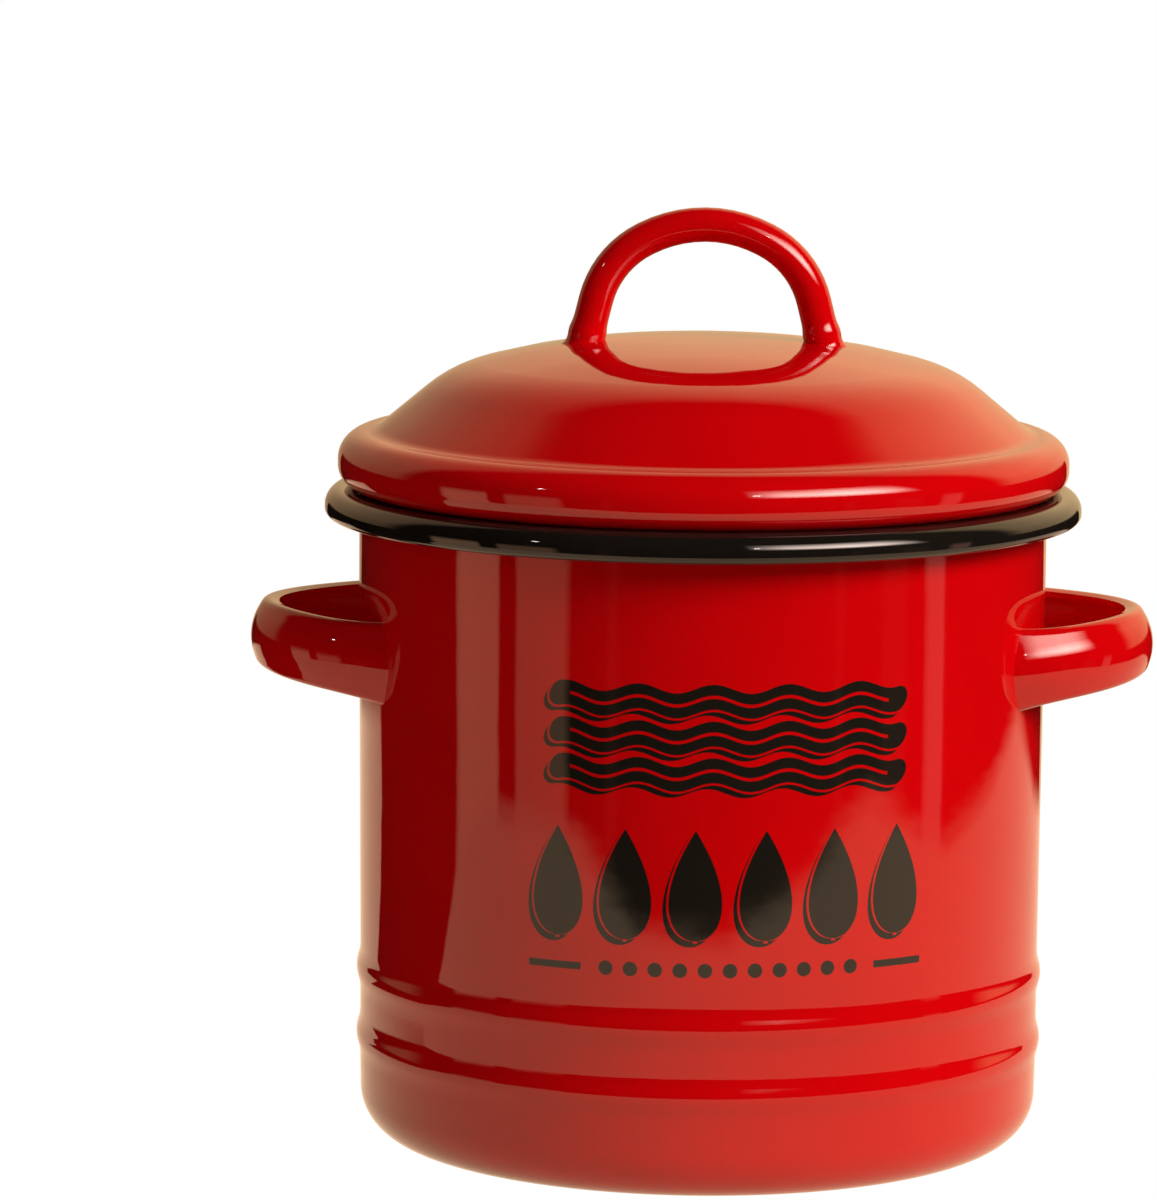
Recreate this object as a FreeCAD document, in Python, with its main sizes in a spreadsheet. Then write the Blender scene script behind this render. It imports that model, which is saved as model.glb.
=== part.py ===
import FreeCAD, Part
import math
import os
import Sketcher

# Lidded enamelled steel grease keeper with a lift-out strainer. Millimetres, +Z up.
# The pot stands on z = 0 with its axis on the Z axis, and the carrying loops point along X.

doc = FreeCAD.newDocument("grease_keeper")
sheet = doc.addObject("Spreadsheet::Sheet", "sizes")

# Driving dimensions, each written once
DRIVING = {
    # Drawn pot
    "wall_thickness": 1.2,
    "mouth_outer_radius": 62.5,
    "rib_draft": 0.45,
    "foot_draft": 0.75,
    "wall_height": 114.0,
    "mouth_straight": 12.0,
    "mouth_curve": 60.0,
    "base_corner_radius": 9.0,
    "base_ring_width": 5.25,
    "base_panel_rise": 0.8,
    "base_panel_slope": 1.5,
    "base_panel_curve": 3.0,
    # Two ribs swaged outwards low on the wall
    "lower_rib_height": 18.9,
    "upper_rib_height": 31.1,
    "rib_half_width": 3.1,
    "rib_peak": 0.85,
    "rib_crest_curve": 5.0,
    "rib_root_curve": 9.0,
    # Rim rolled outwards
    "rim_overhang": 6.3,
    "rim_roll_height": 6.8,
    "rim_roll_curve": 3.35,
    "rim_hang": 0.2,
    "rim_tuck_run": 1.5,
    "rim_tuck_rise": 0.7,
    "rim_tuck_curve": 2.0,
    "rim_tuck_gap": 0.15,
    # Pressed lid
    "lid_thickness": 1.2,
    "lid_rise": 26.0,
    "lid_crown_width": 21.3,
    "lid_crown_slope": 15.4,
    "lid_crown_curve": 120.0,
    "lid_shoulder_inset": 16.0,
    "lid_shoulder_curve": 25.0,
    "lid_flank_slope": 36.5,
    "lid_valley_curve": 2.5,
    "lid_overhang": 3.95,
    "lid_bead_height": 10.45,
    "lid_bead_top_curve": 5.6,
    "lid_bead_under_curve": 4.25,
    "lid_seat_clearance": 0.4,
    "lid_skirt_depth": 10.0,
    "lid_skirt_curve": 1.4,
    "lid_skirt_clearance": 0.6,
    # Round bar handle on the lid
    "bar_diameter": 6.3,
    "bar_foot_spread": 22.7,
    "bar_foot_sink": 5.0,
    "bar_shoulder_spread": 17.9,
    "bar_shoulder_rise": 14.4,
    "bar_shoulder_curve": 15.0,
    "bar_peak_rise": 23.6,
    "bar_peak_curve": 22.0,
    "bar_collar_radius": 4.7,
    "bar_collar_spread": 21.9,
    "bar_collar_sink": 3.0,
    "bar_collar_rise": 5.0,
    # Pressed strap loops at the sides
    "strap_thickness": 1.1,
    "strap_nose_half": 6.1,
    "strap_bend_half": 6.5,
    "strap_leg_half": 7.0,
    "strap_root_half": 9.5,
    "strap_crown": 2.85,
    "strap_crown_lead": 0.9,
    "strap_crown_curve": 10.0,
    "strap_edge_curve": 1.7,
    "strap_lip_depth": 2.6,
    "strap_lip_droop": 0.5,
    "strap_reach": 19.9,
    "strap_half_span": 27.6,
    "strap_nose_flat": 0.6,
    "strap_root_overlap": 12.0,
    "strap_leg_angle": 16.0,
    "strap_bend_angle": 50.0,
    "strap_rise_angle": 6.5,
    "strap_drop": 23.2,
    # Lift-out strainer
    "strainer_thickness": 0.5,
    "strainer_clearance": 0.5,
    "strainer_lip_overhang": 0.6,
    "strainer_lip_curve": 0.6,
    "strainer_seat_clearance": 0.35,
    "collar_depth": 15.5,
    "mesh_thickness": 0.6,
    "mesh_lap": 4.2,
    "mesh_drop": 26.0,
    "mesh_dish": 3.0,
    "mesh_corner_curve": 24.0,
    "mesh_floor_radius": 10.0,
    "mesh_floor_curve": 120.0,
    "clamp_thickness": 0.6,
    "clamp_lip": 2.0,
    "clamp_curve": 1.2,
}

# Sizes that follow from the driving ones, as the sheet's own formulas
DERIVED = {
    "mouth_inner_radius": "mouth_outer_radius - wall_thickness",
    "rib_wall_radius": "mouth_outer_radius - rib_draft",
    "foot_outer_radius": "mouth_outer_radius - foot_draft",
    "base_panel_edge": "foot_outer_radius - base_corner_radius - base_ring_width",
    "base_panel_radius": "base_panel_edge - base_panel_slope",
    "rib_crest_radius": "rib_wall_radius + rib_peak",
    "lower_rib_start": "lower_rib_height - rib_half_width",
    "lower_rib_end": "lower_rib_height + rib_half_width",
    "upper_rib_start": "upper_rib_height - rib_half_width",
    "upper_rib_end": "upper_rib_height + rib_half_width",
    "mouth_start": "wall_height - mouth_straight",
    "rim_outer_radius": "mouth_outer_radius + rim_overhang",
    "rim_bottom": "wall_height - rim_hang",
    "rim_top": "rim_bottom + rim_roll_height",
    "rim_tuck_radius": "mouth_outer_radius + rim_tuck_gap",
    "rim_tuck_start": "rim_tuck_radius + rim_tuck_run",
    "rim_tuck_height": "rim_bottom + rim_tuck_rise",
    "lip_radius": "mouth_inner_radius + strainer_lip_overhang",
    "shoulder_inset": "rim_roll_curve - strainer_lip_overhang",
    "shoulder_height": "rim_top - rim_roll_curve + sqrt(rim_roll_curve ^ 2 - shoulder_inset ^ 2)",
    "strainer_seat": "shoulder_height + strainer_seat_clearance",
    "collar_radius": "mouth_inner_radius - strainer_clearance",
    "collar_bottom": "strainer_seat - collar_depth",
    "mesh_radius": "collar_radius - strainer_thickness",
    "mesh_top": "collar_bottom + mesh_lap",
    "mesh_corner": "collar_bottom - mesh_drop",
    "mesh_bottom": "mesh_corner - mesh_dish",
    "clamp_radius": "mesh_radius - mesh_thickness",
    "clamp_lip_radius": "clamp_radius - clamp_lip",
    "lid_top": "rim_top + lid_rise",
    "lid_bead_radius": "mouth_outer_radius + lid_overhang",
    "lid_shoulder_radius": "mouth_outer_radius - lid_shoulder_inset",
    "lid_crown_radius": "lid_shoulder_radius - lid_crown_width",
    "lid_seat": "strainer_seat + strainer_thickness + lid_seat_clearance",
    "lid_shoulder_height": "lid_top - (lid_shoulder_radius - lid_crown_radius) * tan(lid_crown_slope)",
    "lid_bead_top": "lid_seat + lid_bead_height",
    "lid_valley_radius": "lid_shoulder_radius + (lid_shoulder_height - lid_bead_top) / tan(lid_flank_slope)",
    "lid_skirt_radius": "mesh_radius - lid_skirt_clearance",
    "lid_skirt_end": "lid_seat - lid_skirt_depth",
    "bar_foot_height": "lid_top - bar_foot_sink",
    "bar_collar_foot": "lid_top - bar_collar_sink",
    "bar_shoulder_height": "lid_top + bar_shoulder_rise",
    "bar_peak_height": "lid_top + bar_peak_rise",
    "strap_edge_depth": "strap_crown_lead - strap_crown",
    "strap_lip_end": "strap_edge_depth - strap_lip_depth",
    "strap_nose_lip": "strap_nose_half - strap_lip_droop",
    "strap_bend_lip": "strap_bend_half - strap_lip_droop",
    "strap_leg_lip": "strap_leg_half - strap_lip_droop",
    "strap_root_lip": "strap_root_half - strap_lip_droop",
    "strap_nose_curve": "strap_half_span - strap_nose_flat",
    "strap_nose": "mouth_outer_radius + strap_reach",
    "strap_root": "mouth_outer_radius - strap_root_overlap",
    "strap_height": "wall_height - strap_drop",
}

for row, (alias, number) in enumerate(DRIVING.items(), start=1):
    sheet.set("A%d" % row, str(number))
    sheet.setAlias("A%d" % row, alias)
for row, (alias, formula) in enumerate(DERIVED.items(), start=1):
    sheet.set("B%d" % row, "=" + formula)
    sheet.setAlias("B%d" % row, alias)
doc.recompute()

Z_AXIS = FreeCAD.Vector(0, 0, 1)
UPRIGHT = FreeCAD.Rotation(FreeCAD.Vector(1, 0, 0), 90)
sub_parts = []


# Value of one size of the sheet, where a sign in front turns it round
def size(name):
    if name == "0":
        return 0.0
    if name.startswith("-"):
        return -float(sheet.get(name[1:]))
    return float(sheet.get(name))


# The same size as a formula for a constraint or a property
def formula(name):
    if name.startswith("-"):
        return "-sizes." + name[1:]
    return "sizes." + name


# Places one corner of an outline, bound to the sheet, and gives its number in the sketch
def add_corner(sketch, x_name, y_name):
    point = sketch.addGeometry(Part.Point(FreeCAD.Vector(size(x_name), size(y_name), 0)), True)
    for kind, name in (("DistanceX", x_name), ("DistanceY", y_name)):
        place = sketch.addConstraint(Sketcher.Constraint(kind, -1, 1, point, 1, size(name)))
        if name != "0":
            sketch.setExpression("Constraints[%d]" % place, formula(name))
    return point


# Rounding arc between two straight runs that meet at a corner, with the points where it starts and ends
def rounding(before, corner, after, radius):
    run_in = (before - corner).normalize()
    run_out = (after - corner).normalize()
    half_angle = run_in.getAngle(run_out) / 2
    start = corner + run_in * (radius / math.tan(half_angle))
    end = corner + run_out * (radius / math.tan(half_angle))
    centre = corner + (run_in + run_out).normalize() * (radius / math.sin(half_angle))
    turns_left = run_in.cross(run_out).z < 0
    first, last = (start, end) if turns_left else (end, start)
    first_angle = math.atan2(first.y - centre.y, first.x - centre.x)
    last_angle = math.atan2(last.y - centre.y, last.x - centre.x)
    if last_angle < first_angle:
        last_angle += 2 * math.pi
    arc = Part.ArcOfCircle(Part.Circle(centre, FreeCAD.Vector(0, 0, 1), radius), first_angle, last_angle)
    return arc, start, end, turns_left


# Sketch of straight runs through the given corners, each corner rounded to its radius.
# Every corner is (across, up, radius or None), all of them names of sizes in the sheet.
def outline(name, corners, closed=False):
    sketch = doc.addObject("Sketcher::SketchObject", name)
    spots = [FreeCAD.Vector(size(x), size(y), 0) for x, y, radius in corners]
    marks = [add_corner(sketch, x, y) for x, y, radius in corners]
    count = len(corners)
    starts = list(spots)
    ends = list(spots)
    arcs = {}
    for i, (x, y, radius) in enumerate(corners):
        if radius is None:
            continue
        arc, arc_start, arc_end, turns_left = rounding(
            spots[i - 1], spots[i], spots[(i + 1) % count], size(radius))
        arcs[i] = (arc, radius, turns_left)
        ends[i] = arc_start
        starts[i] = arc_end
    runs = []
    for i in range(count if closed else count - 1):
        following = (i + 1) % count
        run = sketch.addGeometry(Part.LineSegment(starts[i], ends[following]), False)
        runs.append(run)
        for corner in (i, following):
            if corner in arcs:
                sketch.addConstraint(Sketcher.Constraint("PointOnObject", marks[corner], 1, run))
            else:
                run_end = 1 if corner == i else 2
                sketch.addConstraint(Sketcher.Constraint("Coincident", marks[corner], 1, run, run_end))
    for i, (arc, radius, turns_left) in arcs.items():
        piece = sketch.addGeometry(arc, False)
        first, last = (1, 2) if turns_left else (2, 1)
        sketch.addConstraint(Sketcher.Constraint("Tangent", runs[i - 1], 2, piece, first))
        sketch.addConstraint(Sketcher.Constraint("Tangent", piece, last, runs[i % len(runs)], 1))
        place = sketch.addConstraint(Sketcher.Constraint("Radius", piece, size(radius)))
        sketch.setExpression("Constraints[%d]" % place, formula(radius))
    return sketch


# Sheet metal profile: the outline thickened to one side
def thickened(name, sketch, thickness, side=1):
    profile = doc.addObject("Part::Offset2D", name + "_profile")
    profile.Source = sketch
    profile.Mode = "Skin"
    profile.Fill = True
    sign = "" if side > 0 else "-"
    profile.setExpression("Value", sign + "sizes." + thickness)
    profile.Value = side * size(thickness)
    return profile


# Round piece: a profile drawn across and up, turned once about the Z axis
def turned(name, profile):
    piece = doc.addObject("Part::Revolution", name)
    piece.Source = profile
    piece.Axis = Z_AXIS
    piece.Base = FreeCAD.Vector(0, 0, 0)
    piece.Angle = 360
    piece.Solid = True
    return piece


# Round sheet metal piece from the outline of its outer face
def spun_sheet(name, corners, thickness, side):
    sketch = outline(name + "_outline", corners)
    sketch.Placement = FreeCAD.Placement(FreeCAD.Vector(0, 0, 0), UPRIGHT)
    doc.recompute()
    return turned(name, thickened(name, sketch, thickness, side))


# Marks an object as a finished sub-part, written under the given name
def finish(piece, node):
    piece.Label = node
    sub_parts.append(piece)
    return piece


# Pot: drawn steel cup with a raised base panel, a round base corner and two ribs
POT_CORNERS = [
    ("0", "base_panel_rise", None),
    ("base_panel_radius", "base_panel_rise", "base_panel_curve"),
    ("base_panel_edge", "0", "base_panel_curve"),
    ("foot_outer_radius", "0", "base_corner_radius"),
    ("rib_wall_radius", "lower_rib_start", "rib_root_curve"),
    ("rib_crest_radius", "lower_rib_height", "rib_crest_curve"),
    ("rib_wall_radius", "lower_rib_end", "rib_root_curve"),
    ("rib_wall_radius", "upper_rib_start", "rib_root_curve"),
    ("rib_crest_radius", "upper_rib_height", "rib_crest_curve"),
    ("rib_wall_radius", "upper_rib_end", "rib_root_curve"),
    ("mouth_outer_radius", "mouth_start", "mouth_curve"),
    ("mouth_outer_radius", "wall_height", None),
]
finish(spun_sheet("pot_shell_form", POT_CORNERS, "wall_thickness", 1), "pot_shell")

# Rim: the top of the wall rolled outwards and down until its edge tucks in against the wall
RIM_CORNERS = [
    ("mouth_inner_radius", "wall_height", None),
    ("mouth_inner_radius", "rim_top", "rim_roll_curve"),
    ("rim_outer_radius", "rim_top", "rim_roll_curve"),
    ("rim_outer_radius", "rim_bottom", "rim_roll_curve"),
    ("rim_tuck_start", "rim_bottom", "rim_tuck_curve"),
    ("rim_tuck_radius", "rim_tuck_height", None),
]
finish(spun_sheet("rim_form", RIM_CORNERS, "wall_thickness", -1), "rolled_rim")

# Lid: pressed dome, valley and round bead, turned down inside the mouth as a skirt
LID_CORNERS = [
    ("0", "lid_top", None),
    ("lid_crown_radius", "lid_top", "lid_crown_curve"),
    ("lid_shoulder_radius", "lid_shoulder_height", "lid_shoulder_curve"),
    ("lid_valley_radius", "lid_bead_top", "lid_valley_curve"),
    ("lid_bead_radius", "lid_bead_top", "lid_bead_top_curve"),
    ("lid_bead_radius", "lid_seat", "lid_bead_under_curve"),
    ("lid_skirt_radius", "lid_seat", "lid_skirt_curve"),
    ("lid_skirt_radius", "lid_skirt_end", None),
]
finish(spun_sheet("lid_form", LID_CORNERS, "lid_thickness", -1), "lid_shell")

# Strainer collar: thin band whose lip rests on the shoulder of the rim
COLLAR_CORNERS = [
    ("lip_radius", "strainer_seat", None),
    ("collar_radius", "strainer_seat", "strainer_lip_curve"),
    ("collar_radius", "collar_bottom", None),
]
finish(spun_sheet("collar_form", COLLAR_CORNERS, "strainer_thickness", -1), "strainer_collar")

# Strainer mesh: fine wire cloth pressed to a bowl, its edge inside the collar
MESH_CORNERS = [
    ("mesh_radius", "mesh_top", None),
    ("mesh_radius", "mesh_corner", "mesh_corner_curve"),
    ("mesh_floor_radius", "mesh_bottom", "mesh_floor_curve"),
    ("0", "mesh_bottom", None),
]
finish(spun_sheet("mesh_form", MESH_CORNERS, "mesh_thickness", -1), "strainer_mesh")

# Clamp ring: plain band that holds the edge of the mesh against the collar
CLAMP_CORNERS = [
    ("clamp_radius", "mesh_top", None),
    ("clamp_radius", "collar_bottom", "clamp_curve"),
    ("clamp_lip_radius", "collar_bottom", None),
]
finish(spun_sheet("clamp_form", CLAMP_CORNERS, "clamp_thickness", -1), "strainer_clamp_ring")


# Sketches for the swept pieces, set upright across their path
def placed(sketch, position, rotation):
    sketch.Placement = FreeCAD.Placement(position, rotation)
    doc.recompute()
    return sketch


# Solid swept by one or more profiles along every run and arc of a path
def swept(name, profiles, path):
    piece = doc.addObject("Part::Sweep", name)
    piece.Sections = profiles
    piece.Spine = (path, ["Edge%d" % (i + 1) for i in range(len(path.Shape.Edges))])
    piece.Solid = True
    piece.Frenet = False
    return piece


# Body of revolution that fills the inside of an outline, used to trim what is welded to it
def trimming_plug(name, corners):
    sketch = outline(name + "_outline", corners, closed=True)
    placed(sketch, FreeCAD.Vector(0, 0, 0), UPRIGHT)
    return turned(name, sketch)


# Lid handle: round bar bent to an arch, its two feet welded on the crown
BAR_CORNERS = [
    ("-bar_foot_spread", "bar_foot_height", None),
    ("-bar_shoulder_spread", "bar_shoulder_height", "bar_shoulder_curve"),
    ("0", "bar_peak_height", "bar_peak_curve"),
    ("bar_shoulder_spread", "bar_shoulder_height", "bar_shoulder_curve"),
    ("bar_foot_spread", "bar_foot_height", None),
]
bar_path = placed(outline("bar_path", BAR_CORNERS), FreeCAD.Vector(0, 0, 0), UPRIGHT)
bar_section = doc.addObject("Part::Circle", "bar_section")
bar_section.setExpression("Radius", "sizes.bar_diameter / 2")
bar_section.AttachmentSupport = [(bar_path, "Edge1")]
bar_section.MapMode = "NormalToEdge"
bar_section.MapPathParameter = 0.0
doc.recompute()
bar_arch = swept("bar_arch", [bar_section], bar_path)


# Fillet of weld and enamel round one foot of the bar
def bar_collar(name, side):
    collar = doc.addObject("Part::Cone", name)
    collar.setExpression("Radius1", "sizes.bar_collar_radius")
    collar.setExpression("Radius2", "sizes.bar_diameter / 2")
    collar.setExpression("Height", "sizes.bar_collar_rise")
    collar.setExpression("Placement.Base.x", "%d * sizes.bar_collar_spread" % side)
    collar.setExpression("Placement.Base.z", "sizes.bar_collar_foot")
    return collar


bar_joined = doc.addObject("Part::MultiFuse", "bar_joined")
bar_joined.Shapes = [bar_arch, bar_collar("bar_collar_left", -1), bar_collar("bar_collar_right", 1)]
LID_PLUG_CORNERS = [
    ("0", "lid_top", None),
    ("lid_crown_radius", "lid_top", "lid_crown_curve"),
    ("lid_shoulder_radius", "lid_shoulder_height", None),
    ("lid_shoulder_radius", "lid_bead_top", None),
    ("0", "lid_bead_top", None),
]
lid_plug = trimming_plug("lid_plug", LID_PLUG_CORNERS)
lid_handle = doc.addObject("Part::Cut", "lid_handle_form")
lid_handle.Base = bar_joined
lid_handle.Tool = lid_plug
finish(lid_handle, "lid_handle")

# Side handles: crowned strap with its edges curled in, bent to a round loop and welded to the wall.
# The strap is highest at its welded ends and lowest at the nose of the loop.
STRAP_PATH = [
    ("strap_root", "-strap_half_span", None),
    ("strap_nose", "-strap_half_span", "strap_nose_curve"),
    ("strap_nose", "strap_half_span", "strap_nose_curve"),
    ("strap_root", "strap_half_span", None),
]
WALL_PLUG_CORNERS = [
    ("0", "upper_rib_end", None),
    ("rib_wall_radius", "upper_rib_end", None),
    ("mouth_outer_radius", "mouth_start", "mouth_curve"),
    ("mouth_outer_radius", "wall_height", None),
    ("0", "wall_height", None),
]
ACROSS_LEG = FreeCAD.Rotation(FreeCAD.Vector(0, -1, 0), Z_AXIS, FreeCAD.Vector(-1, 0, 0), "XYZ")
strap_path = outline("strap_path", STRAP_PATH)


# Section of the strap with the given height, set across the path after the given turn of its bend
def strap_section(name, station, place, turn):
    half = "strap_%s_half" % station
    lip = "strap_%s_lip" % station
    corners = [
        ("strap_lip_end", lip, None),
        ("strap_edge_depth", half, "strap_edge_curve"),
        ("strap_crown_lead", "0", "strap_crown_curve"),
        ("strap_edge_depth", "-" + half, "strap_edge_curve"),
        ("strap_lip_end", "-" + lip, None),
    ]
    sketch = outline(name + "_outline", corners)
    placed(sketch, place, FreeCAD.Rotation(Z_AXIS, turn) * ACROSS_LEG)
    return thickened(name, sketch, "strap_thickness", -1)


# Point of the path on its first bend, after the given turn, mirrored for the second bend
def bend_point(turn, mirrored):
    angle = math.radians(turn)
    across = size("strap_nose_curve")
    x = size("strap_nose") - across + across * math.sin(angle)
    y = size("strap_half_span") - across + across * math.cos(angle)
    return FreeCAD.Vector(x, y if mirrored else -y, 0)


root = FreeCAD.Vector(size("strap_root"), -size("strap_half_span"), 0)
far_root = FreeCAD.Vector(size("strap_root"), size("strap_half_span"), 0)
nose = FreeCAD.Vector(size("strap_nose"), 0, 0)
leg_turn = size("strap_leg_angle")
bend_turn = size("strap_bend_angle")
strap_sections = [
    strap_section("strap_root", "root", root, 0),
    strap_section("strap_leg", "leg", bend_point(leg_turn, False), leg_turn),
    strap_section("strap_bend", "bend", bend_point(bend_turn, False), bend_turn),
    strap_section("strap_nose", "nose", nose, 90),
    strap_section("strap_far_bend", "bend", bend_point(bend_turn, True), 180 - bend_turn),
    strap_section("strap_far_leg", "leg", bend_point(leg_turn, True), 180 - leg_turn),
    strap_section("strap_far_root", "root", far_root, 180),
]
doc.recompute()


# One loop of the pair, where side is 1 for +X and -1 for -X
def side_handle(name, side):
    strap = swept(name + "_strap", strap_sections, strap_path)
    doc.recompute()
    raised = doc.addObject("Part::Mirroring", name + "_raised") if side < 0 else strap
    if side < 0:
        raised.Source = strap
        raised.Normal = FreeCAD.Vector(1, 0, 0)
        raised.Base = FreeCAD.Vector(0, 0, 0)
    turn = -side * size("strap_rise_angle")
    pivot = FreeCAD.Vector(side * size("mouth_outer_radius"), 0, 0)
    tilt = FreeCAD.Placement(FreeCAD.Vector(0, 0, size("strap_height")),
                             FreeCAD.Rotation(FreeCAD.Vector(0, 1, 0), turn), pivot)
    raised.Placement = tilt
    handle = doc.addObject("Part::Cut", name + "_form")
    handle.Base = raised
    handle.Tool = trimming_plug(name + "_plug", WALL_PLUG_CORNERS)
    return finish(handle, name)


side_handle("right_side_handle", 1)
side_handle("left_side_handle", -1)

doc.recompute()
for piece in doc.Objects:
    if "Invalid" in piece.State or "Error" in piece.State:
        raise RuntimeError("%s failed: %s" % (piece.Name, piece.getStatusString()))
for piece in sub_parts:
    if piece.Shape.isNull() or not piece.Shape.isValid():
        raise RuntimeError("%s has no sound shape" % piece.Label)

os.makedirs("parts", exist_ok=True)
for piece in sub_parts:
    piece.Shape.exportStep("parts/%s.step" % piece.Label)
    box = piece.Shape.BoundBox
    print("%-22s solids %d volume %9.1f z %.2f to %.2f" % (
        piece.Label, len(piece.Shape.Solids), piece.Shape.Volume, box.ZMin, box.ZMax))
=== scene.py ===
import bpy
import math
from mathutils import Matrix, Vector


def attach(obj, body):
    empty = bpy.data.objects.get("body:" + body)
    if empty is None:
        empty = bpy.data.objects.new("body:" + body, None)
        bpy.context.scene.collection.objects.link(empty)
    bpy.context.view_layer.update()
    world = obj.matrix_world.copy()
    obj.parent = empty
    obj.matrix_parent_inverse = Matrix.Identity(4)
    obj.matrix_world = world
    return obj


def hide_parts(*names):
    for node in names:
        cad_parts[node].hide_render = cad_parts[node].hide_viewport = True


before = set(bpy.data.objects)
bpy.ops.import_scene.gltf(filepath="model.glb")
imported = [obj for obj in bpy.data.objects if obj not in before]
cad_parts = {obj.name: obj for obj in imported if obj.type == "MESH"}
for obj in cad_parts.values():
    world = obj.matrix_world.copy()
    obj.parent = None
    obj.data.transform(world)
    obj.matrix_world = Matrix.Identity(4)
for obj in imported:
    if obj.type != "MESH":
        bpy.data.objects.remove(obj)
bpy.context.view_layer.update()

# The camera stands where the photograph was taken from: a long lens, a little above the lid,
# turned and tipped by small angles. The pot's base is at the origin and its front faces -Y.
CAMERA_PLACE = (0.0, -1.2107, 0.2683)
CAMERA_TURN = 0.01859
CAMERA_DIP = 0.13938
CAMERA_ROLL = 0.0077
CAMERA_LENS = 201.0
SENSOR_WIDTH = 36.0
NEAREST = 0.01
FARTHEST = 60.0
camera = bpy.data.objects.new("camera", bpy.data.cameras.new("camera"))
bpy.context.collection.objects.link(camera)
camera.data.lens = CAMERA_LENS
camera.data.sensor_width = SENSOR_WIDTH
camera.data.clip_start = NEAREST
camera.data.clip_end = FARTHEST
camera.matrix_world = (Matrix.Translation(CAMERA_PLACE) @ Matrix.Rotation(CAMERA_TURN, 4, "Z")
                       @ Matrix.Rotation(math.pi / 2 - CAMERA_DIP, 4, "X")
                       @ Matrix.Rotation(CAMERA_ROLL, 4, "Z"))
bpy.context.scene.camera = camera
bpy.context.scene.view_settings.view_transform = "Standard"

# The table top is white to the camera. In the enamel it shows as a painted reflection: pale wood that
# glows though it is no lamp, and ends at the table's edge, nearer at the front and at the left than
# behind.
TABLE_SIZE = 12.0
TABLE_EDGE = (0.90, 1.06)
PAINTED_WOOD_REFLECTION = (1.15, 0.78, 0.50, 1)
WOOD_DIFFUSE = (0.70, 0.58, 0.48, 1)
WHITE = (1.0, 1.0, 1.0, 1.0)
# How far the painted wood reflection reaches, in metres, on each bearing in degrees
TABLE_REACH = ((-180, 0.52), (-130, 0.56), (-124, 0.17), (-88, 0.17), (-82, 0.40), (-70, 0.47),
               (-38, 0.45), (-18, 0.35), (8, 0.34), (35, 0.41), (55, 0.50), (84, 0.42), (109, 0.47),
               (127, 0.57), (145, 0.42), (180, 0.33))


def add_node(tree, kind, **settings):
    """New node, with each setting given to the property or the input of that name."""
    node = tree.nodes.new(kind)
    for name, value in settings.items():
        if hasattr(node, name):
            setattr(node, name, value)
        else:
            node.inputs[name.replace("_", " ")].default_value = value
    return node


def math_node(tree, operation, *values):
    """Result of one step of arithmetic on numbers or sockets."""
    node = tree.nodes.new("ShaderNodeMath")
    node.operation = operation
    for socket, value in zip(node.inputs, values):
        if isinstance(value, (int, float)):
            socket.default_value = value
        else:
            tree.links.new(value, socket)
    return node.outputs[0]


def diagonal(tree, across, along):
    """Length of the diagonal over two lengths at right angles."""
    squares = math_node(tree, "ADD", math_node(tree, "MULTIPLY", across, across),
                        math_node(tree, "MULTIPLY", along, along))
    return math_node(tree, "SQRT", squares)


def smooth(tree, value, start, end):
    """Soft step from 0 to 1 between two values."""
    step = add_node(tree, "ShaderNodeMapRange", interpolation_type="SMOOTHSTEP")
    tree.links.new(value, step.inputs["Value"])
    step.inputs["From Min"].default_value = start
    step.inputs["From Max"].default_value = end
    return step.outputs["Result"]


def colour_ramp(tree, factor, stops):
    """Colour that follows the factor through (position, colour) stops."""
    node = tree.nodes.new("ShaderNodeValToRGB")
    elements = node.color_ramp.elements
    elements[0].position = stops[0][0]
    elements[0].color = stops[0][1]
    elements[1].position = stops[-1][0]
    elements[1].color = stops[-1][1]
    for position, colour in stops[1:-1]:
        elements.new(position).color = colour
    tree.links.new(factor, node.inputs["Fac"])
    return node.outputs["Color"]


def number_ramp(tree, factor, stops):
    """Number that follows the factor through (position, number) stops."""
    greys = [(position, (number, number, number, 1)) for position, number in stops]
    return colour_ramp(tree, factor, greys)


def bearing(tree, vector):
    """Share of a full turn at which a vector stands, 0.5 at the front, and its separate parts."""
    parts = add_node(tree, "ShaderNodeSeparateXYZ")
    tree.links.new(vector, parts.inputs[0])
    front = math_node(tree, "MULTIPLY", parts.outputs["Y"], -1.0)
    angle = math_node(tree, "ARCTAN2", parts.outputs["X"], front)
    return math_node(tree, "MULTIPLY_ADD", angle, 1 / (2 * math.pi), 0.5), parts


def turn_share(degrees):
    """The same share for a bearing in degrees."""
    return 0.5 + degrees / 360


def mixed_shader(tree, factor, first, second):
    """Shader between two shaders."""
    node = add_node(tree, "ShaderNodeMixShader")
    for socket, value in zip(node.inputs, (factor, first, second)):
        tree.links.new(value, socket)
    return node.outputs["Shader"]


def new_material(name):
    """Empty material, its tree and its output node."""
    material = bpy.data.materials.new(name)
    material.use_nodes = True
    tree = material.node_tree
    tree.nodes.clear()
    output = tree.nodes.new("ShaderNodeOutputMaterial")
    return material, tree, output


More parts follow.
